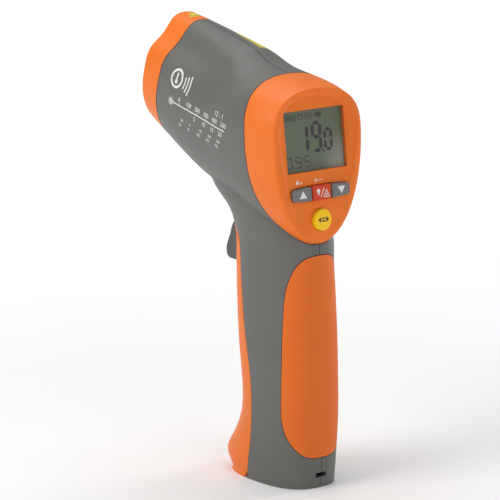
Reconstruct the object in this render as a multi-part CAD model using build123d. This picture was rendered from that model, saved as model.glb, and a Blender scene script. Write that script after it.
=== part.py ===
"""Pistol-grip infrared thermometer, in millimetres.

Frame: +X is the user's right, +Y the aiming direction, +Z up. The instrument stands on the
flat foot of its handle, and the origin lies in that foot, below the battery.
"""
from build123d import *
from math import copysign, cos, exp, pi, sin
import os

# ---- driving dimensions ------------------------------------------------------------------
head_wall = 2.2            # wall of the head, all round
grip_wall = 3.0            # wall of the handle, thick enough to carry the inlaid grip
floor_wall = 2.6           # wall under the handle and behind the muzzle face
seam = 0.3                 # width of the groove where two mouldings meet
seam_depth = 0.6
running = 0.25             # gap round a piece that moves
reach = 45                 # half length of the prisms that trim the body from side to side

display_tilt = 7           # the display leans back by this angle
muzzle_tilt = 7            # the muzzle face leans back by this angle
display_at = Vector(0, -15.0, 165.4)
muzzle_at = Vector(0, 88.4, 181.5)
glass_wide, glass_high = 35.6, 28.5
face_wall = 2.0            # the bezel's face, round the window and the keys
dish_flare = [(0, 0), (0.6, 1.2), (2.2, 3.0), (4.0, 5.2), (6.0, 9.0)]   # height, and growth

rim_radius, muzzle_radius = 2.5, 1.5   # rounding of the bezels' outer edges

key_row = -24.3            # height of the key row on the display face, below the window's middle
mode_row = -37.0           # and of the round key under it
key_gap = 0.22
mode_r = 5.05
key_proud, mode_proud = 2.3, 1.7
key_rail = 0.9             # thickness of the rail that keeps a key behind the face
key_foot = 3.3             # depth of a key's foot behind the face

board_face = 7.8           # how far the board lies behind the display face
board_thick = 1.6
board_screw_spots = [(-21.6, -18.6), (21.6, -18.6), (0.0, 20.2)]
sensor_r = 14.0
laser_up = 24.0

hinge_at = Vector(0, 16.4, 2.9)       # pin of the battery door
hinge_pin_r = 1.0
knuckle_r = 2.4
knuckle_half = 12.0
trigger_at = Vector(0, 33.0, 134.5)   # pin of the trigger
trigger_pin_r = 1.25
trigger_half = 4.6
slot_half, slot_low, slot_high = 5.1, 97.6, 121.7

battery_wide, battery_deep, battery_high = 26.5, 17.5, 46.4
battery_foot = 16.0
battery_mid = 0.2

screw_spots = [(38.0, 193.5), (60.0, 153.5), (13.0, 185.5), (3.0, 112.0), (1.0, 8.5)]
screw_seat = 8.0           # how far right of the centre joint each screw head sits
screw_shank_r, screw_head_r = 1.25, 2.7

outline_points = 24
barrel_steps, handle_steps = 18, 26

# Head, rear to front: y and z of its top line, y and z of its underside, half width, height of
# the widest place, squareness below and above it, and the pinch under the laser ridge.
barrel_rows = [
    (-16.6, 189.0, -19.3, 116.5, 26.4, 0.69, 2.1, 2.6, 0.00),
    (-5.0, 192.0, -8.0, 117.5, 28.4, 0.68, 2.1, 2.5, 0.00),
    (4.5, 193.7, 4.0, 120.0, 29.0, 0.67, 2.1, 2.4, 0.00),
    (19.6, 197.1, 23.0, 127.2, 28.1, 0.60, 2.1, 2.25, 0.03),
    (29.4, 202.2, 35.0, 131.5, 26.9, 0.54, 2.1, 2.15, 0.12),
    (47.7, 206.9, 56.0, 139.5, 25.3, 0.47, 2.1, 2.1, 0.20),
    (69.9, 211.6, 79.0, 151.5, 23.8, 0.44, 2.1, 2.0, 0.27),
    (84.4, 214.0, 91.3, 158.2, 22.7, 0.43, 2.1, 2.0, 0.30),
]

# Handle, foot to neck: z and y of its back, y and z of its front, half width, height of the
# widest place, squareness at the front and at the back.
handle_rows = [
    (0, -19.6, 37.6, 0, 17.9, 0.5, 2.3, 2.7),
    (12, -20.6, 40.6, 10.8, 18.5, 0.5, 2.3, 2.7),
    (19, -20.7, 35.4, 17.8, 18.6, 0.5, 2.4, 2.7),
    (27, -20.7, 29.6, 26.4, 18.7, 0.5, 2.5, 2.7),
    (36, -20.6, 26.6, 35.5, 18.8, 0.5, 2.6, 2.7),
    (47, -20.5, 26.8, 46, 18.8, 0.5, 2.6, 2.7),
    (68, -20.1, 29.8, 67, 18.7, 0.5, 2.6, 2.7),
    (88, -19.1, 31.4, 87.5, 18.4, 0.5, 2.6, 2.7),
    (105, -18.1, 32.0, 104, 18.2, 0.5, 2.6, 2.6),
    (117, -18.0, 32.3, 117.5, 18.6, 0.5, 2.5, 2.4),
    (130, -12, 37, 128, 19.6, 0.5, 2.3, 2.2),
    (143, -4, 48, 136, 20.2, 0.5, 2.2, 2.1),
    (158, 6, 60, 146, 18, 0.5, 2.1, 2.0),
]

display = Plane(
    origin=display_at,
    x_dir=(1, 0, 0),
    z_dir=Vector(0, -1, 0).rotate(Axis.X, -display_tilt),
).location
muzzle = Plane(
    origin=muzzle_at,
    x_dir=(-1, 0, 0),
    z_dir=Vector(0, 1, 0).rotate(Axis.X, muzzle_tilt),
).location


# ---- the outer form ----------------------------------------------------------------------
def outline(low, high, half_width, widest, low_n, high_n, pinch=0.0, inset=0.0):
    """Closed egg or keyhole outline between two (y, z) points of the centre plane."""
    foot = Vector(0, *low)
    span = Vector(0, *high) - foot
    rise = span.normalized()
    length = span.length - 2 * inset
    start = foot + rise * inset
    points = []
    for step in range(outline_points):
        turn = 2 * pi * step / outline_points
        along = -cos(turn)
        across = sin(turn)
        power = 2 / (low_n if along < 0 else high_n)
        up = copysign(abs(along) ** power, along)
        out = copysign(abs(across) ** power, across)
        height = widest + up * (widest if up < 0 else 1 - widest)
        waist = 1 - pinch * exp(-(((height - 0.88) / 0.09) ** 2))
        side = (half_width - inset) * out * waist
        points.append(start + rise * height * length + Vector(side, 0, 0))
    return Wire([Spline(*points, periodic=True)])


def smooth(rows, at):
    """The row that lies at `at` on smooth curves through all the rows."""
    slopes = []
    for i in range(len(rows)):
        before = rows[max(i - 1, 0)]
        after = rows[min(i + 1, len(rows) - 1)]
        slopes.append([(b - a) / (after[0] - before[0]) for a, b in zip(before, after)])
    i = 0
    while i < len(rows) - 2 and at > rows[i + 1][0]:
        i += 1
    gap = rows[i + 1][0] - rows[i][0]
    u = (at - rows[i][0]) / gap
    values = []
    for a, b, leave, arrive in zip(rows[i], rows[i + 1], slopes[i], slopes[i + 1]):
        ends = a * (2 * u**3 - 3 * u**2 + 1) + b * (3 * u**2 - 2 * u**3)
        bends = gap * (leave * (u**3 - 2 * u**2 + u) + arrive * (u**3 - u**2))
        values.append(ends + bends)
    return values


def barrel(inset=0.0, front=0.0, rear=0.0):
    """The head as a loft from the display to the muzzle, drawn in by `inset`."""
    first, last = barrel_rows[0][0], barrel_rows[-1][0]
    wires = []
    for step in range(barrel_steps + 1):
        row = smooth(barrel_rows, first + (last - first) * step / barrel_steps)
        y_high, z_high, y_low, z_low, half_width, widest, low_n, high_n, pinch = row
        shift = rear if step == 0 else (-front if step == barrel_steps else 0)
        low, high = (y_low + shift, z_low), (y_high + shift, z_high)
        wires.append(outline(low, high, half_width, widest, low_n, high_n, pinch, inset))
    return Solid.make_loft(wires)


def handle(inset=0.0, lift=0.0):
    """The handle as a loft from its foot up into the head, drawn in by `inset`."""
    top = handle_rows[-1][0]
    wires = []
    for step in range(handle_steps + 1):
        row = smooth(handle_rows, top * step / handle_steps)
        z_back, y_back, y_front, z_front, half_width, widest, front_n, back_n = row
        rise = lift if step == 0 else 0
        low, high = (y_front, z_front + rise), (y_back, z_back + rise)
        wires.append(outline(low, high, half_width, widest, front_n, back_n, 0.0, inset))
    return Solid.make_loft(wires)


def prism(curve, corners):
    """Side-to-side prism over a smooth (y, z) curve that is closed through `corners`."""
    bend = Spline(*[Vector(0, *point) for point in curve])
    straight = Polyline(*[Vector(0, *point) for point in [curve[-1], *corners, curve[0]]])
    return extrude(make_face([bend, straight]), reach, both=True)


def bar(radius, centre, x_from, x_to):
    """Round bar along X through a (y, z) centre."""
    place = Pos((x_from + x_to) / 2, centre[0], centre[1]) * Rot(0, 90, 0)
    return place * Cylinder(radius, abs(x_to - x_from))


# ---- where the mouldings part ------------------------------------------------------------
def display_zone(push=0.0):
    """Everything behind the seam of the display bezel."""
    line = [(6.5, 216), (4.6, 193.6), (2.0, 178), (0.9, 160), (-0.2, 146), (-4.5, 132.6)]
    line += [(-11.8, 123.3), (-18.3, 116.6), (-28, 109)]
    moved = [(y + push, z - push * 0.4) for y, z in line]
    return prism(moved, [(-60, 109), (-60, 216)])


def nose_zone(push=0.0):
    """Everything in front of the seam of the nose bezel."""
    low, high = (81.2 - push, 140), (68.0 - push, 222)
    corners = [low, high, (120, 222), (120, 140)]
    face = make_face(Polyline(*[Vector(0, *point) for point in corners], close=True))
    return extrude(face, reach, both=True)


def door_zone(push=0.0):
    """Everything in front of the edge of the battery door."""
    line = [(14.0, -2), (11.4, 10), (9.4, 24), (8.8, 38), (10.4, 54), (14.2, 71), (17.0, 88)]
    line += [(18.7, 103), (19.6, 112), (22.8, 119.5), (28.2, 125.2), (34.5, 130.2)]
    moved = [(y + push, z - push * 0.4) for y, z in line]
    return prism(moved, [(80, 130), (80, -2)])


def grip_zone(push=0.0):
    """Everything behind the long oval edge of the grip inlay."""
    line = [(-24, 13.9), (-20.6, 14.5), (-17.0, 18.2), (-13.6, 24), (-11.4, 31), (-10.8, 42)]
    line += [(-10.8, 64), (-10.9, 86), (-11.6, 96), (-13.6, 104), (-16.8, 110.4), (-20, 113.0)]
    line += [(-24, 113.8)]
    middle = 64
    moved = [(y - push, z + copysign(push, middle - z)) for y, z in line]
    return prism(moved, [(-60, 113.8), (-60, 13.9)])


# ---- the housing mouldings ---------------------------------------------------------------
def hollow():
    """The space inside the housing, ending short of the display face and the muzzle."""
    behind_face = display * Pos(0, 0, 50 - face_wall) * Box(90, 140, 100)
    return barrel(head_wall, front=floor_wall, rear=0.8) - behind_face + handle(grip_wall, floor_wall)


def posts():
    """Posts along X that the screws draw together, and the two that hold the trigger's pin."""
    bars = []
    for spot in screw_spots:
        bars.append(bar(3.2, spot, -32, 0))
        bars.append(bar(4.7, spot, 0, 32))
    centre = (trigger_at.Y, trigger_at.Z)
    for side in (-1, 1):
        bars.append(bar(3.0, centre, side * (trigger_half + 0.6), side * 30))
    return bars


def bay_plates():
    """Back plate and floor of the battery bay, moulded into both shells."""
    back = Pos(0, battery_mid - battery_deep / 2 - 1.4, 44) * Box(50, 1.6, 72)
    floor = Pos(0, battery_mid - 0.2, battery_foot - 1.4) * Box(50, battery_deep + 1, 1.6)
    return back + floor


def hinge_ears():
    """The two ears on the foot that hold the door's pin."""
    ears = []
    for side in (-1, 1):
        disc = bar(knuckle_r, (hinge_at.Y, hinge_at.Z), side * (knuckle_half + 0.3), side * 14.6)
        block_mid = side * (knuckle_half + 14.9) / 2
        block = Pos(block_mid, hinge_at.Y - 3.4, hinge_at.Z) * Box(2.3, 6.8, 2 * knuckle_r)
        ears.append(disc + block)
    return ears


def lanyard_cut():
    """Slot across the back of the foot, and its way out through the sole."""
    back_slot = Pos(0, -20, 6.2) * Box(6.2, 10, 2.3)
    sole_slot = Pos(0, -12.5, 0) * Box(6.2, 2.6, 9)
    return back_slot + sole_slot


def socket_hole():
    """Rectangular hole in the right shell for the probe socket."""
    return Pos(22, 16, 160) * Box(24, 17.3, 9.3)


def grooves():
    """Shallow grooves that mark the seams on the outside."""
    bands = display_zone(seam) - display_zone() + (nose_zone(seam) - nose_zone())
    bands += Box(seam, 400, 600)
    return bands.cut(barrel(seam_depth), handle(seam_depth))


def bores():
    """Everything drilled through the shells: pins, screws, their heads, lanyard, socket."""
    tools = [bar(trigger_pin_r, (trigger_at.Y, trigger_at.Z), -9, 9)]
    tools.append(bar(hinge_pin_r, (hinge_at.Y, hinge_at.Z), -14, 14))
    for spot in screw_spots:
        tools.append(bar(screw_shank_r + 0.05, spot, -11, screw_seat + 1))
        tools.append(bar(screw_head_r + 0.3, spot, screw_seat, 40))
    return tools + [lanyard_cut(), socket_hole()]


envelope_head = barrel()
envelope_grip = handle()
envelope = envelope_head + envelope_grip
space = hollow()
casing = envelope - space
inlay_bed = envelope_grip - handle(1.5)


def shells():
    """Left and right shell: the casing less what the bezels, door and inlay take."""
    inner = barrel(1.0) + handle(1.0)
    parting = door_zone()
    body = casing.cut(display_zone(), nose_zone(), parting, inlay_bed & grip_zone(), grooves())
    inside = inner & Compound([*posts(), bay_plates() - parting])
    body = body.fuse(*inside.solids(), *hinge_ears())
    body = body.cut(*bores())
    return [body & Pos(side * 50, 30, 100) * Box(100, 300, 400) for side in (-1, 1)]


def key_shape(name):
    """Plan of one key on the display face, drawn round its own middle."""
    if name == "laser_button":
        plan = Rectangle(11.0, 7.0)
        corners = 0.8
    elif name == "mode_button":
        return Circle(mode_r)
    else:
        out = -5.4 if name == "up_button" else 5.4
        points = [(-out, -3.4), (out, -2.7), (out, 2.7), (-out, 3.4)]
        plan = make_face(Polyline(*points, close=True))
        corners = 1.2
    return fillet(plan.vertices(), corners)


key_places = {
    "up_button": (-11.45, key_row),
    "laser_button": (0.0, key_row),
    "down_button": (11.45, key_row),
    "mode_button": (0.0, mode_row),
}


def key_opening():
    """The opening that the three keys of the row share."""
    half = [(16.85, 2.7), (6.0, 3.5)]
    points = half + [(-x, y) for x, y in reversed(half)]
    points += [(-x, -y) for x, y in points]
    plan = make_face(Polyline(*points, close=True))
    columns = plan.vertices().group_by(Axis.X)
    return offset(fillet(columns[0] + columns[-1], 1.2), key_gap)


def key(name):
    """A hard key cap on a rail that keeps it behind the face."""
    across, up = key_places[name]
    plan = key_shape(name)
    proud = mode_proud if name == "mode_button" else key_proud
    cap = extrude(plan, proud + key_foot)
    top = cap.faces().sort_by(Axis.Z)[-1]
    cap = chamfer(top.edges(), 0.5)
    rail = Pos(0, 0, key_rail / 2) * Box(3, plan.bounding_box().size.Y + 2.0, key_rail)
    return display * Pos(across, up, -key_foot) * (cap + rail)


def on_display(up, out):
    """The (y, z) of a point of the centre plane, given up and out of the display face."""
    spot = (display * Pos(0, up, out)).position
    return spot.Y, spot.Z


def display_bezel():
    """Egg-shaped face moulding: dished round the window, bored for the keys."""
    rear = envelope_head.faces().sort_by(Axis.Y)[0]
    body = fillet(rear.edges(), rim_radius) - space
    body = body & display_zone()
    wires = []
    for out, grow in dish_flare:
        low, high = on_display(-44 - grow / 2, out), on_display(20.2 + grow, out)
        wires.append(outline(low, high, 20.3 + grow, 0.72, 2.1, 2.5))
    body -= Solid.make_loft(wires)
    body -= display * Box(glass_wide, glass_high, 12)
    body -= display * Pos(0, key_row, -6) * extrude(key_opening(), 20)
    body -= display * Pos(0, mode_row, -6) * extrude(Circle(mode_r + key_gap), 20)
    for across, up in board_screw_spots:
        depth = board_face - face_wall + 0.6
        post = display * Pos(across, up, -face_wall + 0.6 - depth / 2) * Cylinder(2.0, depth)
        body += post - display * Pos(across, up, -board_face) * Cylinder(0.8, 8)
    return body


def nose_bezel():
    """Front band with the round window of the sensor and the laser's hole above it."""
    front = envelope_head.faces().sort_by(Axis.Y)[-1]
    body = (fillet(front.edges(), muzzle_radius) - space) & nose_zone()
    body -= muzzle * Cylinder(sensor_r + 0.1, 20)
    body -= muzzle * Pos(0, laser_up, 0) * Cylinder(2.4, 20)
    return body


# ---- display and electronics -------------------------------------------------------------
def lcd_window():
    return display * Pos(0, 0, -0.8) * Box(glass_wide - 0.3, glass_high - 0.3, 1.2)


def lcd_panel():
    return display * Pos(0, 0, -3.3) * Box(38.4, 31.2, 1.9)


def lcd_backlight():
    """Light box behind the panel, with a shallow tray round its edge."""
    box = Pos(0, 0, -6.1) * Box(39.6, 32.6, 3.2)
    tray = Pos(0, 0, -4.6) * Box(37.6, 30.6, 0.4)
    return display * (box - tray)


def main_board():
    """Glass-fibre board cut to the outline of the bezel."""
    half = [(8.0, -42.5), (17.5, -31.0), (23.0, -20.0), (23.6, -8.0), (23.2, 10.0), (18.0, 18.4)]
    half += [(9.0, 22.8)]
    points = half + [(-x, y) for x, y in reversed(half)]
    plate = extrude(make_face(Polyline(*points, close=True)), board_thick)
    for across, up in board_screw_spots:
        plate -= Pos(across, up, 0) * Cylinder(1.15, 6)
    return display * Pos(0, 0, -board_face - board_thick) * plate


def board_screws():
    """Three pan-head screws that hold the board to the bezel's posts."""
    screws = []
    for across, up in board_screw_spots:
        head = Pos(0, 0, -board_face - board_thick - 0.75) * Cylinder(1.9, 1.5)
        head -= Pos(0, 0, -board_face - board_thick - 1.4) * Box(2.4, 0.5, 0.7)
        head -= Pos(0, 0, -board_face - board_thick - 1.4) * Box(0.5, 2.4, 0.7)
        shank = Pos(0, 0, -board_face - board_thick + 2.0) * Cylinder(0.75, 5.0)
        screws.append(display * Pos(across, up, 0) * (head + shank))
    return Compound(screws)


def keypad_sheet():
    """Rubber sheet under the keys, with one raised pad for each."""
    half = [(8.4, -42.0), (16.5, -31.0), (18.5, -24.0), (18.5, -18.6)]
    points = half + [(-x, y) for x, y in reversed(half)]
    sheet = Pos(0, 0, -5.6) * extrude(make_face(Polyline(*points, close=True)), 0.9)
    for across, up in key_places.values():
        sheet += Pos(across, up, -4.55) * Cylinder(2.0, 0.5)
    return display * sheet


def key_switches():
    """Four tact switches soldered to the board under the keys."""
    switches = []
    for across, up in key_places.values():
        can = Pos(0, 0, -7.3) * Box(4.4, 4.4, 0.95)
        stem = Pos(0, 0, -6.3) * Cylinder(1.2, 1.1)
        switches.append(display * Pos(across, up, 0) * (can + stem))
    return Compound(switches)


def microcontroller():
    """Square flat-pack chip on the back of the board, with its legs as two thin plates."""
    back = -board_face - board_thick
    body = Pos(0, -2, back - 0.95) * Box(12, 12, 1.5)
    legs = Pos(0, -2, back - 0.12) * (Box(14, 10.5, 0.2) + Box(10.5, 14, 0.2))
    return display * (body + legs)


def buzzer():
    """Round sounder with its sound hole, on the back of the board."""
    back = -board_face - board_thick
    can = Pos(0, -20, back - 2.2) * Cylinder(6.0, 4.3)
    hole = Pos(0, -20, back - 4.0) * Cylinder(1.0, 2.0)
    return display * (can - hole)


# ---- optics ------------------------------------------------------------------------------
def sensor_barrel():
    """Black optical tube: flared mouth, seat for the lens, long dark bore."""
    profile = [
        (12.6, -0.9), (sensor_r, -0.9), (sensor_r, -34.0), (10.6, -34.0), (10.6, -12.5),
        (9.8, -12.5), (9.8, -10.8),
    ]
    face = make_face(Polyline(*[Vector(r, 0, z) for r, z in profile], close=True))
    return muzzle * revolve(face, Axis.Z)


def sensor_lens():
    """Domed moulded lens that gathers the heat onto the sensor."""
    disc = Pos(0, 0, -15.6) * Cylinder(10.4, 1.6)
    ball = Pos(0, 0, -41.0) * Sphere(27.6)
    dome = ball & Pos(0, 0, -13.9) * Cylinder(9.4, 2.2)
    return muzzle * (disc + dome)


def lens_ring():
    """Ring behind the lens that holds it against the step of the tube."""
    return muzzle * Pos(0, 0, -17.2) * (Cylinder(10.5, 1.5) - Cylinder(8.8, 3))


def sensor_board():
    """Round board that closes the back of the tube."""
    return muzzle * Pos(0, 0, -34.9) * Cylinder(13.0, 1.6)


def thermopile():
    """Metal-can heat sensor: flange, can and window hole."""
    flange = Pos(0, 0, -33.7) * Cylinder(4.6, 0.6)
    can = Pos(0, 0, -31.6) * Cylinder(4.1, 3.7)
    hole = Pos(0, 0, -29.8) * Cylinder(1.6, 1.0)
    return muzzle * (flange + can - hole)


def laser_module():
    """Brass pointer module, with a narrower barrel at its lens end."""
    rear = Pos(0, laser_up, -16.4) * Cylinder(3.2, 14.0)
    front = Pos(0, laser_up, -7.0) * Cylinder(2.7, 5.2)
    bore = Pos(0, laser_up, -5.0) * Cylinder(1.2, 2.6)
    return muzzle * (rear + front - bore)


def laser_window():
    return muzzle * Pos(0, laser_up, -3.3) * Cylinder(3.1, 1.2)


# ---- trigger -----------------------------------------------------------------------------
def trigger():
    """Finger lever: hub on its pin, arm behind the door, blade out through the slot."""
    blade = Spline(
        Vector(0, 38.6, 119.9), Vector(0, 41.2, 116.6), Vector(0, 43.2, 111.2),
        Vector(0, 45.6, 105.2), Vector(0, 45.0, 101.6), Vector(0, 41.4, 100.2),
    )
    back = Polyline(
        Vector(0, 41.4, 100.2), Vector(0, 28.2, 99.7), Vector(0, 22.4, 101.2),
        Vector(0, 22.4, 120.0), Vector(0, 29.6, 136.4), Vector(0, 35.4, 131.6),
        Vector(0, 28.6, 126.0), Vector(0, 28.2, 120.4), Vector(0, 38.6, 119.9),
    )
    lever = extrude(make_face([blade, back]), trigger_half, both=True)
    centre = (trigger_at.Y, trigger_at.Z)
    lever += bar(3.7, centre, -trigger_half, trigger_half)
    lever -= bar(4.4, centre, 1.4, 8)
    return lever - bar(trigger_pin_r + 0.05, centre, -9, 9)


def trigger_pin():
    return bar(trigger_pin_r, (trigger_at.Y, trigger_at.Z), -9, 9)


def trigger_spring():
    """Torsion spring beside the hub: three close coils with one leg up and back."""
    turns = []
    for count in range(3):
        place = Pos(2.2 + count * 0.85, trigger_at.Y, trigger_at.Z) * Rot(0, 90, 0)
        turns.append(place * Torus(2.2, 0.45))
    leg_at = Pos(2.2 + 0.85, trigger_at.Y - 2.2, trigger_at.Z + 4.0)
    coil = turns[0] + turns[1] + turns[2]
    return coil + leg_at * Cylinder(0.45, 8.0)


def trigger_switch():
    """Small lever-less switch that the back of the trigger presses."""
    case = Pos(0, 11.6, 108) * Box(12.6, 5.6, 6.4)
    button = Pos(0, 15.2, 108) * Box(2.6, 2.4, 2.4)
    return case + button


# ---- battery and its door ----------------------------------------------------------------
def battery_door():
    """Front of the handle with its toe, a slot for the trigger and a hinge knuckle."""
    body = casing & door_zone(running)
    body -= Pos(0, 33, (slot_low + slot_high) / 2) * Box(2 * slot_half, 24, slot_high - slot_low)
    for side in (-1, 1):
        body -= Pos(side * 24.2, 22.0, 116.5) * Sphere(9.0)
    corner = Pos(0, hinge_at.Y - 10, hinge_at.Z - 5) * Box(60, 20, 10)
    knuckle = bar(knuckle_r, (hinge_at.Y, hinge_at.Z), -knuckle_half, knuckle_half)
    body -= corner - bar(knuckle_r, (hinge_at.Y, hinge_at.Z), -30, 30)
    for side in (-1, 1):
        ear = bar(knuckle_r + 1.2, (hinge_at.Y, hinge_at.Z), side * knuckle_half, side * 14.9)
        body -= ear + Pos(side * 13.4, hinge_at.Y - 3.4, hinge_at.Z + 0.4) * Box(3.0, 6.8, 6.0)
    web = Pos(0, hinge_at.Y + 2.0, hinge_at.Z - 1.1) * Box(2 * knuckle_half, 4.0, 2.6)
    return body + knuckle + web - bar(hinge_pin_r + 0.05, (hinge_at.Y, hinge_at.Z), -13, 13)


def door_pin():
    return bar(hinge_pin_r, (hinge_at.Y, hinge_at.Z), -14, 14)


def battery_9v():
    """Block battery with its two snap terminals."""
    block = Box(battery_wide, battery_deep, battery_high)
    block = fillet(block.edges().filter_by(Axis.Z), 2.2)
    top = battery_high / 2
    block += Pos(-6.35, 0, top + 1.0) * Cylinder(2.8, 2.0)
    block += Pos(6.35, 0, top + 1.0) * Cylinder(3.6, 2.0)
    return Pos(0, battery_mid, battery_foot + battery_high / 2) * block


def battery_snap():
    """Snap connector that caps the battery's terminals."""
    base = battery_foot + battery_high
    cap = Pos(0, battery_mid, base + 3.2) * Box(26.0, 12.5, 2.2)
    cap = fillet(cap.edges().filter_by(Axis.Z), 3.0)
    return cap


def battery_leads():
    """Two insulated leads from the snap connector up to the board."""
    leads = []
    base = battery_foot + battery_high + 4.3
    for side in (-1, 1):
        route = [
            Vector(side * 4.0, battery_mid, base),
            Vector(side * 4.0, -0.8, base + 12),
            Vector(side * 3.2, -6.5, base + 26),
            Vector(side * 2.8, -10.0, base + 40),
            Vector(side * 2.8, -10.6, base + 53),
        ]
        path = FilletPolyline(*route, radius=12)
        start = Plane(origin=path @ 0, z_dir=path % 0)
        leads.append(sweep(start * Circle(0.65), path=path))
    return leads


# ---- grip inlay, socket, fasteners -------------------------------------------------------
def rear_grip():
    """Soft inlay moulded into the bed round the back of the handle."""
    return inlay_bed & grip_zone(seam)


def probe_socket():
    """Socket for a flat two-blade probe plug, set in the right side of the head."""
    block = Box(13.0, 17.0, 9.0)
    slots = Pos(2, -3.8, 0) * Box(12, 3.4, 1.1) + Pos(2, 3.8, 0) * Box(12, 2.6, 1.1)
    return Pos(21.6, 16, 160) * (block - slots)


def socket_contacts():
    """Spring strips at the bottom of the two slots."""
    strips = []
    for along in (-3.8, 3.8):
        strips.append(Pos(20.2, 16 + along, 160.25) * Box(4.8, 2.2, 0.3))
    return strips


def shell_screws():
    """Five self-tapping screws, driven from the right."""
    screws = []
    for spot in screw_spots:
        head = bar(screw_head_r, spot, screw_seat, screw_seat + 2.0)
        at = Pos(screw_seat + 1.6, *spot)
        head -= at * Box(1.4, 3.4, 0.7) + at * Box(1.4, 0.7, 3.4)
        screws.append(head + bar(screw_shank_r, spot, -9.5, screw_seat))
    return Compound(screws)


def save(node, shape):
    export_step(shape, f"parts/{node}.step")


os.makedirs("parts", exist_ok=True)
left_shell, right_shell = shells()
save("left_shell", left_shell)
save("right_shell", right_shell)
lead_minus, lead_plus = battery_leads()
contact_low, contact_high = socket_contacts()
pieces = {
    "display_bezel": display_bezel(),
    "nose_bezel": nose_bezel(),
    "rear_grip": rear_grip(),
    "battery_door": battery_door(),
    "door_pin": door_pin(),
    "lcd_window": lcd_window(),
    "lcd_panel": lcd_panel(),
    "lcd_backlight": lcd_backlight(),
    "main_board": main_board(),
    "board_screws": board_screws(),
    "keypad_sheet": keypad_sheet(),
    "key_switches": key_switches(),
    "microcontroller": microcontroller(),
    "buzzer": buzzer(),
    "sensor_barrel": sensor_barrel(),
    "sensor_lens": sensor_lens(),
    "lens_ring": lens_ring(),
    "sensor_board": sensor_board(),
    "thermopile": thermopile(),
    "laser_module": laser_module(),
    "laser_window": laser_window(),
    "trigger": trigger(),
    "trigger_pin": trigger_pin(),
    "trigger_spring": trigger_spring(),
    "trigger_switch": trigger_switch(),
    "battery_9v": battery_9v(),
    "battery_snap": battery_snap(),
    "battery_lead_minus": lead_minus,
    "battery_lead_plus": lead_plus,
    "probe_socket": probe_socket(),
    "socket_contacts": Compound([contact_low, contact_high]),
    "shell_screws": shell_screws(),
}
for node, shape in pieces.items():
    save(node, shape)
for node in key_places:
    save(node, key(node))
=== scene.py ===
import math

import bmesh
import bpy
from mathutils import Matrix, Vector
from mathutils.bvhtree import BVHTree


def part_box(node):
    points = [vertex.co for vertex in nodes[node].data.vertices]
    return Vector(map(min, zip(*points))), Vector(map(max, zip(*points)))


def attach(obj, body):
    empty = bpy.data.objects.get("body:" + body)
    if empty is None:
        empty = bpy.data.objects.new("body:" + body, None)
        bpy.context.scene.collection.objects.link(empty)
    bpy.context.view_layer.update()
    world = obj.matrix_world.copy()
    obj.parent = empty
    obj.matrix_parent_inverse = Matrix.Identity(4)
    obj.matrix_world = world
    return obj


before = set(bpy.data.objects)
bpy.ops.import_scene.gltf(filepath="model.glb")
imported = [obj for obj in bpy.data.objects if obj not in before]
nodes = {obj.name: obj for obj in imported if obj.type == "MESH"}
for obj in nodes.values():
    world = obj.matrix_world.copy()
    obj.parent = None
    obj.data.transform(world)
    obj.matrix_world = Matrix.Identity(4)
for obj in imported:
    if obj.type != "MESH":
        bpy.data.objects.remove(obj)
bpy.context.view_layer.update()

scene = bpy.context.scene
mm = 0.001


# ---- Studio ------------------------------------------------------------------------------
# A pale floor under the sole of the handle and four large soft lights. The camera stands
# behind the user's left shoulder, a little above the display.
def look_at(place, target):
    """Matrix that stands at `place` and looks along -Z at `target`."""
    turn = (Vector(target) - Vector(place)).to_track_quat("-Z", "Y")
    return Matrix.Translation(place) @ turn.to_matrix().to_4x4()


camera_turn = math.radians(38.5)
camera_rise = math.radians(12.6)
camera_away = 1.5
camera_lens = 226.9
camera_sensor = 36.0
aim = Vector((0, 0.03341, 0.10494))
back = Vector((-math.sin(camera_turn) * math.cos(camera_rise),
               -math.cos(camera_turn) * math.cos(camera_rise),
               math.sin(camera_rise)))
camera_data = bpy.data.cameras.new("camera")
camera_data.lens = camera_lens
camera_data.sensor_width = camera_sensor
camera = bpy.data.objects.new("camera", camera_data)
scene.collection.objects.link(camera)
camera.matrix_world = look_at(aim + back * camera_away, aim)
scene.camera = camera
scene.view_settings.view_transform = "Standard"


instrument_middle = (0, 0.03, 0.12)


def softbox(name, place, width, height, watts):
    """One large soft light aimed at the middle of the instrument."""
    data = bpy.data.lights.new(name, "AREA")
    data.shape = "RECTANGLE"
    data.size, data.size_y = width, height
    data.energy = watts
    lamp = bpy.data.objects.new(name, data)
    scene.collection.objects.link(lamp)
    lamp.matrix_world = look_at(place, instrument_middle)


softbox("left_softbox", (-1.2, 0.25, 0.95), 0.8, 1.0, 10)
softbox("user_softbox", (-0.2, -1.4, 0.7), 0.9, 0.8, 4)
softbox("right_softbox", (1.3, -0.2, 0.5), 0.5, 1.1, 5)
softbox("top_softbox", (0.1, 0.4, 1.4), 1.2, 1.0, 10)

room_light = 0.3
backdrop_seen = 1.0
world = bpy.data.worlds.new("studio")
scene.world = world
world.use_nodes = True
room = world.node_tree
sky = room.nodes["Background"]
sky.inputs["Color"].default_value = (1, 1, 1, 1)
backdrop = room.nodes.new("ShaderNodeMapRange")
backdrop.inputs["To Min"].default_value = room_light
backdrop.inputs["To Max"].default_value = backdrop_seen
rays = room.nodes.new("ShaderNodeLightPath")
room.links.new(rays.outputs["Is Camera Ray"], backdrop.inputs["Value"])
room.links.new(backdrop.outputs["Result"], sky.inputs["Strength"])

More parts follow.
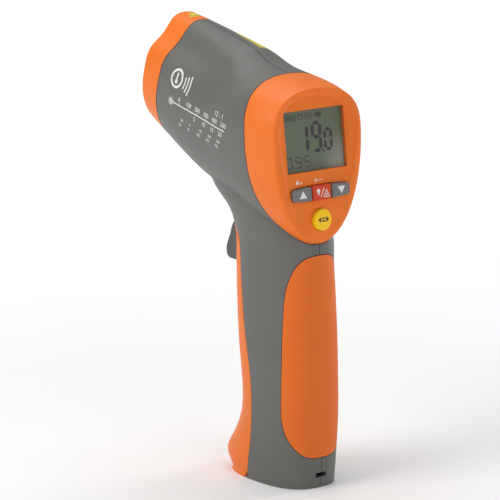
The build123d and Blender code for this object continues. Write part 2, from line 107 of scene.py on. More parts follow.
floor_half = 6.0
# Painted light: the floor glows, not at all within a quarter metre of its middle and rising to
# 0.6 at a metre and a half.
glow_start, glow_end, glow_strength = 0.25, 1.5, 0.6
floor_mesh = bpy.data.meshes.new("floor")
corners = [(x * floor_half, y * floor_half, 0) for x, y in ((-1, -1), (1, -1), (1, 1), (-1, 1))]
floor_mesh.from_pydata(corners, [], [(0, 1, 2, 3)])
floor = bpy.data.objects.new("floor", floor_mesh)
scene.collection.objects.link(floor)
floor_paint = bpy.data.materials.new("floor_paint")
floor_paint.use_nodes = True
floor_tree = floor_paint.node_tree
floor_shader = floor_tree.nodes["Principled BSDF"]
floor_shader.inputs["Base Color"].default_value = (0.93, 0.93, 0.93, 1)
floor_shader.inputs["Roughness"].default_value = 0.85
floor_shader.inputs["Emission Color"].default_value = (1, 1, 1, 1)
floor_place = floor_tree.nodes.new("ShaderNodeTexCoord")
floor_range = floor_tree.nodes.new("ShaderNodeVectorMath")
floor_range.operation = "LENGTH"
floor_glow = floor_tree.nodes.new("ShaderNodeMapRange")
floor_glow.inputs["From Min"].default_value = glow_start
floor_glow.inputs["From Max"].default_value = glow_end
floor_glow.inputs["To Max"].default_value = glow_strength
floor_tree.links.new(floor_place.outputs["Object"], floor_range.inputs[0])
floor_tree.links.new(floor_range.outputs["Value"], floor_glow.inputs["Value"])
floor_tree.links.new(floor_glow.outputs["Result"], floor_shader.inputs["Emission Strength"])
floor_mesh.materials.append(floor_paint)


# ---- Housing shells ----------------------------------------------------------------------
# Left and right shell, injection moulded in warm grey ABS with a fine spark-eroded skin.
# They meet on the centre plane and are drawn together by screws from the right.
def new_material(name, **sockets):
    """A material, its tree and its shader, with constants set on the shader's own sockets."""
    material = bpy.data.materials.new(name)
    material.use_nodes = True
    shader = material.node_tree.nodes["Principled BSDF"]
    for socket, value in sockets.items():
        shader.inputs[socket.replace("_", " ")].default_value = value
    return material, material.node_tree, shader


def noise(tree, scale, detail=2.0, stretch=(1, 1, 1)):
    """Noise factor over the object's own coordinates, `scale` cells to the metre."""
    place = tree.nodes.new("ShaderNodeTexCoord")
    mapping = tree.nodes.new("ShaderNodeMapping")
    mapping.inputs["Scale"].default_value = stretch
    cells = tree.nodes.new("ShaderNodeTexNoise")
    cells.inputs["Scale"].default_value = scale
    cells.inputs["Detail"].default_value = detail
    tree.links.new(place.outputs["Object"], mapping.inputs["Vector"])
    tree.links.new(mapping.outputs["Vector"], cells.inputs["Vector"])
    return cells.outputs["Fac"]


def remap(tree, source, low, high, start=0.3, end=0.7):
    """`source` stretched from start..end to low..high."""
    node = tree.nodes.new("ShaderNodeMapRange")
    node.inputs["From Min"].default_value = start
    node.inputs["From Max"].default_value = end
    node.inputs["To Min"].default_value = low
    node.inputs["To Max"].default_value = high
    tree.links.new(source, node.inputs["Value"])
    return node.outputs["Result"]


def tint(tree, factor, dark, light):
    """Colour that runs from `dark` to `light` with `factor`, each a colour or a socket."""
    mix = tree.nodes.new("ShaderNodeMix")
    mix.data_type = "RGBA"
    tree.links.new(factor, mix.inputs["Factor"])
    for socket, colour in (("A", dark), ("B", light)):
        if isinstance(colour, tuple):
            mix.inputs[socket].default_value = (*colour, 1)
        else:
            tree.links.new(colour, mix.inputs[socket])
    return mix.outputs["Result"]


def grain(tree, shader, height, strength, distance=0.0001):
    """Bump of the shader's normal by `height`."""
    bump = tree.nodes.new("ShaderNodeBump")
    bump.inputs["Strength"].default_value = strength
    bump.inputs["Distance"].default_value = distance
    tree.links.new(height, bump.inputs["Height"])
    tree.links.new(bump.outputs["Normal"], shader.inputs["Normal"])


def scaled(colour, factor):
    """`colour` made lighter or darker."""
    return tuple(min(1.0, part * factor) for part in colour)


flow_cells = 38.0
speck_cells = 3800.0


def moulded(name, colour, roughness=0.42, cells=2600.0, bite=0.12, mottle=0.05, speck=0.0):
    """Moulded plastic: faint flow mottle, fine grain, uneven sheen and, if asked, specks."""
    material, tree, shader = new_material(name, IOR=1.5, Specular_IOR_Level=0.3)
    flow = noise(tree, flow_cells, 3.0)
    skin = noise(tree, cells)
    base = tint(tree, remap(tree, flow, 0, 1), scaled(colour, 1 - mottle),
                scaled(colour, 1 + mottle))
    if speck:
        dots = remap(tree, noise(tree, speck_cells, 1.0), 0, speck, 0.56, 0.66)
        base = tint(tree, dots, base, scaled(colour, 3.2))
    tree.links.new(base, shader.inputs["Base Color"])
    tree.links.new(remap(tree, flow, roughness - 0.04, roughness + 0.06),
                   shader.inputs["Roughness"])
    grain(tree, shader, skin, bite)
    return material


def finish_node(node, material):
    """Gives a CAD node its material."""
    slots = nodes[node].data.materials
    slots.clear()
    slots.append(material)


grey_plastic = moulded("grey_plastic", (0.135, 0.135, 0.127), roughness=0.42)
finish_node("left_shell", grey_plastic)
finish_node("right_shell", grey_plastic)

# ---- Orange mouldings --------------------------------------------------------------------
# Display bezel, nose bezel and battery door, moulded in orange ABS with the same fine skin.
# The battery door hinges on a pin at the foot and takes the front of the handle with it.
orange_plastic = moulded("orange_plastic", (0.83, 0.175, 0.014), roughness=0.42, mottle=0.025)
for moulding in ("display_bezel", "nose_bezel", "battery_door"):
    finish_node(moulding, orange_plastic)


# ---- Seams -------------------------------------------------------------------------------
# The mouldings meet over a stepped joint round both bezels and along the ridge. A near-black
# strip of painted shadow fills the gap between them, a hair proud of the outer skin.
def skin_of(*names):
    """Search tree over the outside of some CAD nodes."""
    points, faces = [], []
    for name in names:
        data = nodes[name].data
        first = len(points)
        points += [vert.co.copy() for vert in data.vertices]
        faces += [[first + index for index in face.vertices] for face in data.polygons]
    return BVHTree.FromPolygons(points, faces)


# Geometry tree for the painted gap shadow: a thin dark section swept along a seam line.
gap_shadow_tree = bpy.data.node_groups.new("painted_gap_shadow_strip", "GeometryNodeTree")
for socket, kind in (("Geometry", "NodeSocketGeometry"), ("Width", "NodeSocketFloat"),
                     ("Depth", "NodeSocketFloat"), ("Proud", "NodeSocketFloat"),
                     ("Material", "NodeSocketMaterial")):
    gap_shadow_tree.interface.new_socket(socket, in_out="INPUT", socket_type=kind)
gap_shadow_tree.interface.new_socket("Geometry", in_out="OUTPUT", socket_type="NodeSocketGeometry")


def add_node(tree, kind, **inputs):
    """A node of a geometry tree, its sockets set by value or linked from another's output."""
    node = tree.nodes.new(kind)
    for socket, value in inputs.items():
        socket = node.inputs[socket.replace("_", " ")]
        if isinstance(value, bpy.types.NodeSocket):
            tree.links.new(value, socket)
        else:
            socket.default_value = value
    return node


given = gap_shadow_tree.nodes.new("NodeGroupInput").outputs
made = gap_shadow_tree.nodes.new("NodeGroupOutput").inputs
path = add_node(gap_shadow_tree, "GeometryNodeMeshToCurve", Mesh=given["Geometry"])
outward = add_node(gap_shadow_tree, "GeometryNodeInputNamedAttribute", Name="outward")
outward.data_type = "FLOAT_VECTOR"
upright = gap_shadow_tree.nodes.new("GeometryNodeSetCurveNormal")
upright.mode = "FREE"
gap_shadow_tree.links.new(path.outputs["Curve"], upright.inputs["Curve"])
gap_shadow_tree.links.new(outward.outputs["Attribute"], upright.inputs["Normal"])
section = add_node(gap_shadow_tree, "GeometryNodeCurvePrimitiveQuadrilateral", Width=given["Depth"],
                   Height=given["Width"])
level = add_node(gap_shadow_tree, "ShaderNodeMath")
level.operation = "MULTIPLY_ADD"
gap_shadow_tree.links.new(given["Depth"], level.inputs[0])
level.inputs[1].default_value = -0.5
gap_shadow_tree.links.new(given["Proud"], level.inputs[2])
inward = add_node(gap_shadow_tree, "ShaderNodeCombineXYZ", X=level.outputs[0])
lowered = add_node(gap_shadow_tree, "GeometryNodeTransform", Geometry=section.outputs["Curve"],
                   Translation=inward.outputs["Vector"])
strip = add_node(gap_shadow_tree, "GeometryNodeCurveToMesh", Curve=upright.outputs["Curve"],
                 Profile_Curve=lowered.outputs["Geometry"], Fill_Caps=True)
whole = add_node(gap_shadow_tree, "GeometryNodeRealizeInstances", Geometry=strip.outputs["Mesh"])
coated = add_node(gap_shadow_tree, "GeometryNodeSetMaterial", Geometry=whole.outputs["Geometry"],
                  Material=given["Material"])
gap_shadow_tree.links.new(coated.outputs["Geometry"], made["Geometry"])


def grown(name, seed, tree, body, **values):
    """What a geometry tree makes of a seed mesh, as a plain piece that rides on a body."""
    holder = bpy.data.objects.new(name + "_seed", seed)
    scene.collection.objects.link(holder)
    modifier = holder.modifiers.new("grow", "NODES")
    modifier.node_group = tree
    for item in tree.interface.items_tree:
        if item.in_out == "INPUT" and item.name in values:
            modifier[item.identifier] = values[item.name]
    seen = holder.evaluated_get(bpy.context.evaluated_depsgraph_get())
    data = bpy.data.meshes.new_from_object(seen)
    data.name = name
    bpy.data.objects.remove(holder)
    piece = bpy.data.objects.new(name, data)
    scene.collection.objects.link(piece)
    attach(piece, body)


gap_shadow_depth = 0.33 * mm
gap_shadow_proud = 0.03 * mm


def gap_shadow_strip(name, line, width=0.5, closed=False):
    """Strip of painted shadow in a seam along (point, outward normal) pairs."""
    count = len(line)
    path = bpy.data.meshes.new(name + "_path")
    runs = [(i, (i + 1) % count) for i in range(count if closed else count - 1)]
    path.from_pydata([point for point, _ in line], runs, [])
    outward = path.attributes.new("outward", "FLOAT_VECTOR", "POINT")
    for value, (_, normal) in zip(outward.data, line):
        value.vector = normal
    grown(name, path, gap_shadow_tree, "housing", Width=width * mm, Depth=gap_shadow_depth,
          Proud=gap_shadow_proud, Material=painted_gap_shadow)


def joint_line(behind, ahead, centre, angles, span, offsets, radius=50.0):
    """Where `ahead` takes over from `behind` round the head, as (point, normal) pairs."""
    skins = skin_of(*behind), skin_of(*ahead)
    line = []
    for angle in angles:
        out = Vector((math.sin(angle), 0, math.cos(angle)))

        def strike(skin, y):
            return skin.ray_cast(Vector((0, y * mm, centre * mm)) + out * radius * mm, -out)

        low, high = span
        for _ in range(16):
            middle = (low + high) / 2
            rear, front = (strike(skin, middle)[3] for skin in skins)
            if front is not None and (rear is None or front < rear):
                high = middle
            else:
                low = middle
        rear, front = (strike(skin, low + gap) for skin, gap in zip(skins, offsets))
        line.append(((rear[0] + front[0]) / 2, (rear[1] + front[1]).normalized()))
    return line


# Painted shadow: a near-black strip stands in each seam for the shade inside the gap.
painted_gap_shadow = moulded("painted_gap_shadow", (0.020, 0.024, 0.030), roughness=0.6, bite=0.05)
shells = ("left_shell", "right_shell")
display_height, nose_height = 160.0, 180.0
over_the_head = [math.radians(-148 + 2 * i) for i in range(149)]
display_joint = joint_line(("display_bezel",), shells, display_height, over_the_head,
                           (-18.0, 9.0), (-0.25, 0.55))
gap_shadow_strip("display_seam_shadow", display_joint)
all_round = [math.radians(3 * i) for i in range(120)]
nose_joint = joint_line(shells, ("nose_bezel",), nose_height, all_round,
                        (60.0, 88.0), (-0.55, 0.25))
gap_shadow_strip("nose_seam_shadow", nose_joint, closed=True)

ridge_start, ridge_step, above_ridge = 6.5, 1.02, 240.0
shell_skin = skin_of(*shells)
ridge = []
for step in range(60):
    start = Vector((0.5, ridge_start + step * ridge_step, above_ridge)) * mm
    point, normal = shell_skin.ray_cast(start, Vector((0, 0, -1)))[:2]
    ridge.append((Vector((0, point.y, point.z)), Vector((0, normal.y, normal.z)).normalized()))
gap_shadow_strip("ridge_seam_shadow", ridge, width=0.4)

# ---- Rear grip ---------------------------------------------------------------------------
# Soft inlay of orange elastomer, moulded into a bed round the back of the handle. It is more
# matt than the hard mouldings, and a shade deeper.
soft_orange = moulded("soft_orange", (0.76, 0.150, 0.014), roughness=0.56, cells=1700.0,
                      bite=0.22, mottle=0.03)
finish_node("rear_grip", soft_orange)

# ---- Keys --------------------------------------------------------------------------------
# Three hard caps in a row, grey, red and grey, with a sparkling textured paint, and a round
# glossy yellow cap under them. Each slides into the face against a rubber dome.
key_grey = moulded("key_grey", (0.140, 0.138, 0.136), roughness=0.46, cells=3400.0, bite=0.5,
                   speck=0.8)
key_red = moulded("key_red", (0.62, 0.052, 0.012), roughness=0.42, cells=3400.0, bite=0.35,
                  speck=0.06)
key_yellow = moulded("key_yellow", (0.95, 0.60, 0.008), roughness=0.3, bite=0.03, mottle=0.02)
finish_node("up_button", key_grey)
finish_node("down_button", key_grey)
finish_node("laser_button", key_red)
finish_node("mode_button", key_yellow)

# ---- Trigger -----------------------------------------------------------------------------
# Finger lever in dark grey nylon with a coarse spark texture, on a steel pin with a torsion
# spring of steel wire.
trigger_grey = moulded("trigger_grey", (0.105, 0.105, 0.100), roughness=0.5, cells=1500.0,
                       bite=0.45)
finish_node("trigger", trigger_grey)


# ---- Metal parts -------------------------------------------------------------------------
# Steel pins, screws and spring, brass contacts and pointer module, aluminium lens ring and
# sensor can. Each is turned or drawn, with fine lines and a slightly uneven polish.
wear_cells, tool_cells = 140.0, 2200.0


def metal(name, colour, roughness, lines=(1, 1, 1)):
    """Worked metal with fine tool lines."""
    material, tree, shader = new_material(name, Metallic=1.0)
    wear = noise(tree, wear_cells, 4.0)
    marks = noise(tree, tool_cells, 2.0, lines)
    worn = tint(tree, remap(tree, wear, 0, 1), scaled(colour, 0.88), colour)
    polish = remap(tree, wear, roughness - 0.06, roughness + 0.1)
    tree.links.new(worn, shader.inputs["Base Color"])
    tree.links.new(polish, shader.inputs["Roughness"])
    grain(tree, shader, marks, 0.12, 0.00005)
    return material


steel = metal("steel", (0.62, 0.61, 0.59), 0.3, (0.1, 1, 1))
brass = metal("brass", (0.80, 0.57, 0.25), 0.26, (1, 0.1, 1))
aluminium = metal("aluminium", (0.74, 0.75, 0.76), 0.34)
for part in ("door_pin", "trigger_pin", "trigger_spring", "shell_screws", "board_screws"):
    finish_node(part, steel)
for part in ("laser_module", "socket_contacts"):
    finish_node(part, brass)
for part in ("lens_ring", "thermopile"):
    finish_node(part, aluminium)

# ---- Electronics -------------------------------------------------------------------------
# Glass-fibre boards under green solder mask with copper tracks showing through it, black
# moulded components, the steel key switches with their rubber sheet, and the pale light box.
tracks_per_metre, track_width = 260.0, 0.035
board_green, tree, shader = new_material("board_green", IOR=1.5, Roughness=0.32)
place = tree.nodes.new("ShaderNodeTexCoord")
tracks = tree.nodes.new("ShaderNodeTexBrick")
tracks.inputs["Scale"].default_value = tracks_per_metre
tracks.inputs["Mortar Size"].default_value = track_width
tracks.inputs["Color1"].default_value = (0.012, 0.10, 0.035, 1)
tracks.inputs["Color2"].default_value = (0.010, 0.085, 0.03, 1)
tracks.inputs["Mortar"].default_value = (0.05, 0.22, 0.06, 1)
tree.links.new(place.outputs["Object"], tracks.inputs["Vector"])
tree.links.new(tracks.outputs["Color"], shader.inputs["Base Color"])
grain(tree, shader, noise(tree, 3000.0), 0.1, 0.00005)
finish_node("main_board", board_green)
finish_node("sensor_board", board_green)

component_black = moulded("component_black", (0.018, 0.018, 0.019), roughness=0.5, bite=0.2)
for part in ("microcontroller", "buzzer", "trigger_switch", "battery_snap"):
    finish_node(part, component_black)
finish_node("key_switches", metal("switch_steel", (0.70, 0.70, 0.69), 0.36))
light_box = moulded("light_box", (0.80, 0.80, 0.77), roughness=0.35, bite=0.05, mottle=0.02)
finish_node("lcd_backlight", light_box)
pad_rubber = moulded("pad_rubber", (0.16, 0.16, 0.165), roughness=0.7, cells=900.0, bite=0.2)
finish_node("keypad_sheet", pad_rubber)

# ---- Optics ------------------------------------------------------------------------------
# Matt black tube with a flared mouth, a smoky moulded lens deep inside it, and a small red
# window over the pointer beam.
tube_black = moulded("tube_black", (0.014, 0.014, 0.014), roughness=0.62, cells=1500.0,
                     bite=0.4)
finish_node("sensor_barrel", tube_black)

lens_smoke, tree, shader = new_material("lens_smoke", IOR=1.54, Coat_Weight=0.6,
                                        Coat_Roughness=0.08)
haze = remap(tree, noise(tree, 220.0, 3.0), 0, 1)
smoke = tint(tree, haze, (0.060, 0.062, 0.070), (0.085, 0.088, 0.098))
lens_sheen = remap(tree, noise(tree, 90.0), 0.14, 0.24)
tree.links.new(smoke, shader.inputs["Base Color"])
tree.links.new(lens_sheen, shader.inputs["Roughness"])
finish_node("sensor_lens", lens_smoke)

beam_window, tree, shader = new_material("beam_window", IOR=1.5, Alpha=0.35)
cloud = remap(tree, noise(tree, 300.0), 0, 1)
ruby = tint(tree, cloud, (0.30, 0.02, 0.02), (0.36, 0.03, 0.03))
window_sheen = remap(tree, noise(tree, 150.0), 0.03, 0.08)
tree.links.new(ruby, shader.inputs["Base Color"])
tree.links.new(window_sheen, shader.inputs["Roughness"])
finish_node("laser_window", beam_window)

# ---- Battery, leads and probe socket -----------------------------------------------------
# A block battery in a printed sleeve of dark and coppery bands, its two leads in red and
# black PVC, and the yellow socket for a flat-bladed probe plug.
sleeve, tree, shader = new_material("battery_sleeve", IOR=1.45, Coat_Weight=0.3)
low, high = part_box("battery_9v")
place = tree.nodes.new("ShaderNodeTexCoord")
axes = tree.nodes.new("ShaderNodeSeparateXYZ")
tree.links.new(place.outputs["Object"], axes.inputs["Vector"])
band_share, band_blur, scuff_cells = 0.72, 0.2 * mm, 120.0
band_edge = low[2] + band_share * (high[2] - low[2])
band = remap(tree, axes.outputs["Z"], 0, 1, band_edge - band_blur, band_edge + band_blur)
scuff = remap(tree, noise(tree, scuff_cells, 4.0), 0, 1)
dark_band = tint(tree, scuff, (0.02, 0.02, 0.022), (0.035, 0.035, 0.036))
copper_band = tint(tree, scuff, (0.50, 0.26, 0.10), (0.58, 0.32, 0.13))
sleeve_sheen = remap(tree, noise(tree, scuff_cells, 4.0), 0.22, 0.36)
tree.links.new(tint(tree, band, dark_band, copper_band), shader.inputs["Base Color"])
tree.links.new(sleeve_sheen, shader.inputs["Roughness"])
finish_node("battery_9v", sleeve)
finish_node("battery_lead_minus", moulded("lead_black", (0.015, 0.015, 0.015), bite=0.05))
finish_node("battery_lead_plus", moulded("lead_red", (0.45, 0.012, 0.010), bite=0.05))
finish_node("probe_socket", moulded("socket_yellow", (0.80, 0.48, 0.02), roughness=0.4))


# ---- Display glass and liquid crystal ----------------------------------------------------
# Reflective liquid-crystal panel, grey-green, with a painted reflection making it paler towards
# its lower right, dark segments on its face and a clear hard-coated window over it. Segments
# and prints start as flat outlines in mm from the middle of the window.
display_tilt = math.radians(7)
display_up = Vector((0, math.sin(display_tilt), math.cos(display_tilt)))
display_out = Vector((0, -math.cos(display_tilt), math.sin(display_tilt)))
window_low, window_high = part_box("lcd_window")
half_window = 0.8 * mm
glass_middle = Vector(((a + b) / 2 for a, b in zip(window_low, window_high)))


def plane(origin, right, up):
    """Matrix of a drawing plane: x to its right, y up it and z out of it."""
    right, up = Vector(right).normalized(), Vector(up)
    up = (up - right * up.dot(right)).normalized()
    turn = Matrix((right, up, right.cross(up))).transposed()
    return Matrix.Translation(origin) @ turn.to_4x4()


def on_face(across, up, out):
    """Drawing plane parallel to the display, placed in mm from the middle of its face."""
    face_middle = glass_middle + display_out * half_window
    origin = face_middle + Vector((1, 0, 0)) * across * mm + display_up * up * mm
    return plane(origin + display_out * out * mm, (1, 0, 0), display_up)


lcd_green, tree, shader = new_material("lcd_green", IOR=1.5)
place = tree.nodes.new("ShaderNodeTexCoord")
axes = tree.nodes.new("ShaderNodeSeparateXYZ")
tree.links.new(place.outputs["Object"], axes.inputs["Vector"])
# Painted reflection: the panel's colour runs to pale grey towards its lower right corner.
to_right = remap(tree, axes.outputs["X"], 0, 1, 4 * mm, 19 * mm)
to_bottom = remap(tree, axes.outputs["Z"], 1, 0, 148 * mm, 168 * mm)
painted_reflection = tree.nodes.new("ShaderNodeMath")
painted_reflection.operation = "MULTIPLY"
tree.links.new(to_right, painted_reflection.inputs[0])
tree.links.new(to_bottom, painted_reflection.inputs[1])
cloud = remap(tree, noise(tree, 60.0), 0, 1)
crystal = tint(tree, cloud, (0.165, 0.200, 0.125), (0.180, 0.215, 0.138))
crystal_and_painted_reflection = tint(tree, painted_reflection.outputs[0], crystal, (0.62, 0.62, 0.58))
crystal_sheen = remap(tree, noise(tree, 90.0), 0.3, 0.38)
tree.links.new(crystal_and_painted_reflection, shader.inputs["Base Color"])
tree.links.new(crystal_sheen, shader.inputs["Roughness"])
finish_node("lcd_panel", lcd_green)

hard_window, tree, shader = new_material("hard_window", IOR=1.45, Alpha=0.1)
cloud = remap(tree, noise(tree, 80.0), 0, 1)
clear_tint = tint(tree, cloud, (0.10, 0.11, 0.10), (0.13, 0.14, 0.13))
hard_sheen = remap(tree, noise(tree, 60.0, 3.0), 0.02, 0.05)
tree.links.new(clear_tint, shader.inputs["Base Color"])
tree.links.new(hard_sheen, shader.inputs["Roughness"])
finish_node("lcd_window", hard_window)


def bar_shape(x, y, wide, high):
    """Rectangle from its lower left corner."""
    return [(x, y), (x + wide, y), (x + wide, y + high), (x, y + high)]


def turned(shape, angle, about=(0, 0)):
    """`shape` turned by `angle` round a point."""
    c, s = math.cos(angle), math.sin(angle)
    return [(about[0] + (x - about[0]) * c - (y - about[1]) * s,
             about[1] + (x - about[0]) * s + (y - about[1]) * c) for x, y in shape]


def disc(x, y, radius, sides=28):
    """Round spot."""
    return [(x + radius * math.cos(math.tau * i / sides),
             y + radius * math.sin(math.tau * i / sides)) for i in range(sides)]


def arc_band(x, y, inner, outer, start, end, steps):
    """Flat ring or arc as a row of four-sided pieces."""
    shapes = []
    for i in range(steps):
        a = start + (end - start) * i / steps
        b = start + (end - start) * (i + 1) / steps
        shapes.append([(x + r * math.cos(t), y + r * math.sin(t))
                       for r, t in ((inner, a), (outer, a), (outer, b), (inner, b))])
    return shapes


LIT = {"0": "abcdef", "1": "bc", "2": "abged", "3": "abgcd", "4": "fgbc", "5": "afgcd",
       "6": "afgedc", "7": "abc", "8": "abcdefg", "9": "abcdfg"}


def seven_segment(digit, x, y, wide, high, stroke, gap=0.25):
    """Mitred segments of one digit, from its lower left corner."""
    half, mid = stroke / 2, y + high / 2
    runs = {
        "a": ((x, y + high), (x + wide, y + high)), "g": ((x, mid), (x + wide, mid)),
        "d": ((x, y), (x + wide, y)), "b": ((x + wide, mid), (x + wide, y + high)),
        "c": ((x + wide, y), (x + wide, mid)), "e": ((x, y), (x, mid)),
        "f": ((x, mid), (x, y + high)),
    }
    shapes = []
    for name in LIT[digit]:
        (x0, y0), (x1, y1) = runs[name]
        length = math.hypot(x1 - x0, y1 - y0)
        flat = [(gap, 0), (gap + half, -half), (length - gap - half, -half), (length - gap, 0),
                (length - gap - half, half), (gap + half, half)]
        shape = turned(flat, math.atan2(y1 - y0, x1 - x0))
        shapes.append([(x0 + u, y0 + v) for u, v in shape])
    return shapes


film_sunk = 0.02
longest_edge = 0.9


def film(name, shapes, place, material, body, skin=None, thick=0.05, reach=60.0):
    """Thin closed layer of ink or vinyl: outlines in mm, laid on a plane or cast on a skin."""
    mesh = bmesh.new()
    for shape in shapes:
        mesh.faces.new([mesh.verts.new((x * mm, y * mm, 0)) for x, y in shape])
    bmesh.ops.triangulate(mesh, faces=mesh.faces[:])
    for _ in range(6 if skin else 0):
        long_edges = [edge for edge in mesh.edges if edge.calc_length() > longest_edge * mm]
        if long_edges:
            bmesh.ops.subdivide_edges(mesh, edges=long_edges, cuts=1)
            bmesh.ops.triangulate(mesh, faces=mesh.faces[:])
    outward = place.to_3x3() @ Vector((0, 0, 1))
    for vert in mesh.verts:
        vert.co = place @ vert.co
        if skin:
            hit = skin.ray_cast(vert.co + outward * reach * mm, -outward)
            vert.co = hit[0] - outward * film_sunk * mm
    grown = bmesh.ops.extrude_face_region(mesh, geom=mesh.faces[:])
    for item in grown["geom"]:
        if isinstance(item, bmesh.types.BMVert):
            item.co += outward * thick * mm
    bmesh.ops.recalc_face_normals(mesh, faces=mesh.faces[:])
    data = bpy.data.meshes.new(name)
    mesh.to_mesh(data)
    mesh.free()
    data.materials.append(material)
    piece = bpy.data.objects.new(name, data)
    scene.collection.objects.link(piece)
    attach(piece, body)


def ink(name, colour, roughness=0.5, patchy=0.12):
    """Printed ink, a little thinner here and there."""
    material, tree, shader = new_material(name, IOR=1.45)
    cover = remap(tree, noise(tree, 900.0, 3.0), 0, 1)
    coat = tint(tree, cover, scaled(colour, 1 - patchy), colour)
    sheen = remap(tree, noise(tree, 500.0), roughness - 0.06, roughness + 0.06)
    tree.links.new(coat, shader.inputs["Base Color"])
    tree.links.new(sheen, shader.inputs["Roughness"])
    return material


panel_face = -2.34
crystal_dark = ink("crystal_dark", (0.045, 0.042, 0.055), 0.4)
crystal_faint = ink("crystal_faint", (0.070, 0.080, 0.062), 0.4)
reading_foot, setting_foot, symbols_foot = -5.2, -12.0, 10.0
reading = []
for digit, left, wide, high, stroke in (("1", -8.2, 5.2, 12.2, 1.9), ("9", 0.4, 4.4, 12.7, 1.8),
                                        ("0", 7.6, 3.6, 9.2, 1.5)):
    reading += seven_segment(digit, left, reading_foot, wide, high, stroke, 0.3)
reading += [disc(6.1, reading_foot - 0.4, 0.65, 12)]
film("lcd_reading", reading, on_face(0, 0, panel_face), crystal_dark, "housing")

setting = []
for digit, left in (("0", -16.2), ("9", -10.6), ("5", -5.6)):
    setting += seven_segment(digit, left, setting_foot, 3.2, 4.8, 0.6, 0.15)
setting += [disc(-11.7, setting_foot, 0.35, 10)]
film("lcd_setting", setting, on_face(0, 0, panel_face), crystal_faint, "housing")

symbols = []
for left in (-15.6, -13.2, -10.8, -3.2, -0.8):
    symbols += seven_segment("8", left, symbols_foot, 1.5, 2.4, 0.4, 0.05)
hollow_box = [bar_shape(-7.6, 10.1, 2.8, 0.4), bar_shape(-7.6, 12.0, 2.8, 0.4),
              bar_shape(-7.6, 10.1, 0.4, 2.3), bar_shape(-5.2, 10.1, 0.4, 2.3)]
battery_mark = [bar_shape(2.4, 10.2, 3.6, 2.1), bar_shape(6.0, 10.8, 0.5, 0.9)]
symbols += hollow_box + battery_mark
film("lcd_symbols", symbols, on_face(0, 0, panel_face), crystal_faint, "housing")

# ---- Key symbols and legends -------------------------------------------------------------
# Pad-printed in white on the caps of the row and on the face above them, and in black on the
# yellow key: up and down arrows, a lamp and a beam symbol, and a pair of arrows.
print_white = ink("print_white", (0.80, 0.80, 0.78))
print_black = ink("print_black", (0.02, 0.02, 0.02), 0.4)
row_up, round_up = -24.3, -37.0
row_face, round_face = 2.28, 1.68
side_key = 11.45

arrow_up = [[(-2.1, -1.6), (2.1, -1.6), (0, 1.9)]]
arrow_down = [[(-2.1, 1.6), (0, -1.9), (2.1, 1.6)]]
film("up_symbol", arrow_up, on_face(-side_key, row_up, row_face), print_white, "up_button")
film("down_symbol", arrow_down, on_face(side_key, row_up, row_face), print_white,
     "down_button")

lamp = [disc(-2.3, 0.9, 1.0, 18), bar_shape(-2.75, -0.75, 0.9, 0.8),
        bar_shape(-2.6, -1.2, 0.6, 0.3)]
slash = [turned(bar_shape(-0.2, -2.4, 0.4, 4.8), -0.5)]
beam = []
beam_corners = ((0.6, -2.2), (4.2, -2.2), (2.4, 1.1))
for start, end in zip(beam_corners, beam_corners[1:] + beam_corners[:1]):
    run = math.hypot(end[0] - start[0], end[1] - start[1])
    lean = math.atan2(end[1] - start[1], end[0] - start[0])
    beam.append([(start[0] + u, start[1] + v)
                 for u, v in turned(bar_shape(-0.1, -0.17, run + 0.2, 0.34), lean)])
for ray in range(4):
    beam.append(turned(bar_shape(1.7, -1.2, 1.4, 0.2), ray * math.pi / 4, (2.4, -1.1)))
film("lamp_beam_symbol", lamp + slash + beam, on_face(0, row_up, row_face), print_white,
     "laser_button")

arrow_pair = [[(-3.3, 0), (-1.6, -1.25), (-1.6, 1.25)], bar_shape(-1.25, -0.95, 2.5, 0.6),
              bar_shape(-1.25, 0.35, 2.5, 0.6), [(3.3, 0), (1.6, 1.25), (1.6, -1.25)]]
film("mode_symbol", arrow_pair, on_face(0, round_up, round_face), print_black, "mode_button")

padlock = [bar_shape(-13.4, -19.4, 1.6, 1.2)]
padlock += arc_band(-12.6, -18.2, 0.4, 0.65, 0, math.pi, 8)
small_arrow = [[(-10.9, -19.4), (-9.7, -19.4), (-10.3, -18.0)]]
ring_and_dashes = arc_band(-1.6, -18.6, 0.45, 0.85, 0, math.tau, 14)
ring_and_dashes += [bar_shape(-0.2, -18.8, 1.4, 0.35), bar_shape(1.6, -18.8, 0.8, 0.35)]
film("face_legends", padlock + small_arrow + ring_and_dashes, on_face(0, 0, 0), print_white,
     "housing", skin_of("display_bezel"))

# ---- Side print --------------------------------------------------------------------------
# Screen print in white on the left of the head: a round thermometer mark, a burst at the end
# of a long rule, and the numbers of a plain scale above and below it.
side_place = plane((-45 * mm, 62.8 * mm, 175.6 * mm), (0, -0.985, -0.172),
                   (0, -0.172, 0.985))
font_rise = 0.7


def numerals(text, x, y, high):
    """Outlines of a number in the built-in font, from its lower left corner."""
    curve = bpy.data.curves.new("numerals", "FONT")
    curve.body = text
    curve.size = high / font_rise
    holder = bpy.data.objects.new("numerals", curve)
    flat = bpy.data.meshes.new_from_object(holder)
    shapes = [[(x + flat.vertices[i].co.x, y + flat.vertices[i].co.y) for i in face.vertices]
              for face in flat.polygons]
    bpy.data.objects.remove(holder)
    bpy.data.curves.remove(curve)
    bpy.data.meshes.remove(flat)
    return shapes


side_print = [bar_shape(1.2, -0.25, 45.2, 0.5)]
for ray in range(8):
    length = 2.7 if ray % 2 else 2.0
    spike = [(-length, 0), (0, -0.28), (length, 0), (0, 0.28)]
    side_print.append(turned(spike, ray * math.pi / 8))
side_print.append(disc(0, 0, 0.8, 14))

first_tick, tick_step, large_figure = 7.0, 7.6, 2.1
for count in range(6):
    at = first_tick + count * tick_step
    side_print.append(bar_shape(at - 0.15, 0.2, 0.3, 0.9))
    side_print += numerals(str(count * 100), at - (2.2 if count else 1.2), 1.6, large_figure)
side_print += numerals("12 : 1", 36.5, 5.2, 2.4)
for count in range(4):
    side_print += numerals(str(5 + count * 5), 20.0 + count * 7.2, -3.4, large_figure)

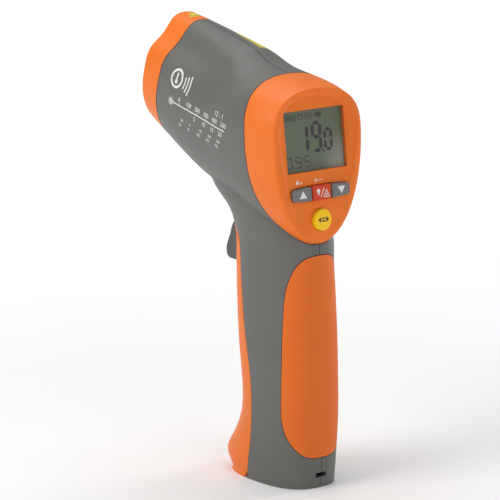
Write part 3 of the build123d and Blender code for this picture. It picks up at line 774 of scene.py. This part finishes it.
column_step, row_shift, row_drop, small_figure = 7.9, 1.5, 2.6, 1.35
small_rows = (("-50", "0", "150", "300", "500"), ("-58", "32", "302", "572", "932"))
for row, values in enumerate(small_rows):
    for column, value in enumerate(values):
        side_print += numerals(value, 9.0 + column * column_step - row * row_shift,
                               -7.0 - row * row_drop, small_figure)

mark_x, mark_y = 1.2, 11.4
side_print += arc_band(mark_x, mark_y, 3.5, 4.6, 0, math.tau, 40)
bulb = disc(mark_x, mark_y - 1.4, 1.05, 18)
stem = bar_shape(mark_x - 0.5, mark_y - 1.0, 1.0, 3.6)
side_print += [bulb, stem]
for wave in range(3):
    radius = 6.4 + wave * 2.2
    side_print += arc_band(mark_x, mark_y, radius, radius + 0.8, -0.5, 0.35, 10)
film("side_print", side_print, side_place, print_white, "housing", skin_of("left_shell"),
     reach=0.0)

# ---- Stickers ----------------------------------------------------------------------------
# Self-adhesive vinyl: a small yellow triangle with a dark line inside its edge on top of the
# nose, and a plain yellow label of the same kind on the right of the ridge.
sticker_yellow = ink("sticker_yellow", (0.85, 0.68, 0.03), 0.35, 0.06)
sticker_dark = ink("sticker_dark", (0.03, 0.03, 0.03), 0.35)


def sticker(name, outline, edge, core, place, skin):
    """Vinyl in three layers, yellow, dark edge and yellow core, each a share of the outline."""
    layers = (("", (1, 1), sticker_yellow, 0.05), ("_edge", edge, sticker_dark, 0.07),
              ("_core", core, sticker_yellow, 0.09))
    for suffix, (wide, high), material, thick in layers:
        shape = [(x * wide, y * high) for x, y in outline]
        film(name + suffix, [shape], place, material, "housing", skin, thick, 0.0)


nose_top = plane((0.5 * mm, 77.4 * mm, 240 * mm), (1, 0, 0), (0, 1, 0))
triangle = [(-4.3, -3.0), (4.3, -3.0), (0, 4.5)]
sticker("nose_sticker", triangle, (0.76, 0.76), (0.60, 0.60), nose_top, skin_of("nose_bezel"))

flank = plane((44.3 * mm, 33.5 * mm, 242.4 * mm), (0, 0.985, 0.172), (-0.75, -0.11, 0.66))
oblong = bar_shape(-10, -4.6, 20, 9.2)
sticker("flank_label", oblong, (0.93, 0.86), (0.88, 0.76), flank, skin_of("right_shell"))
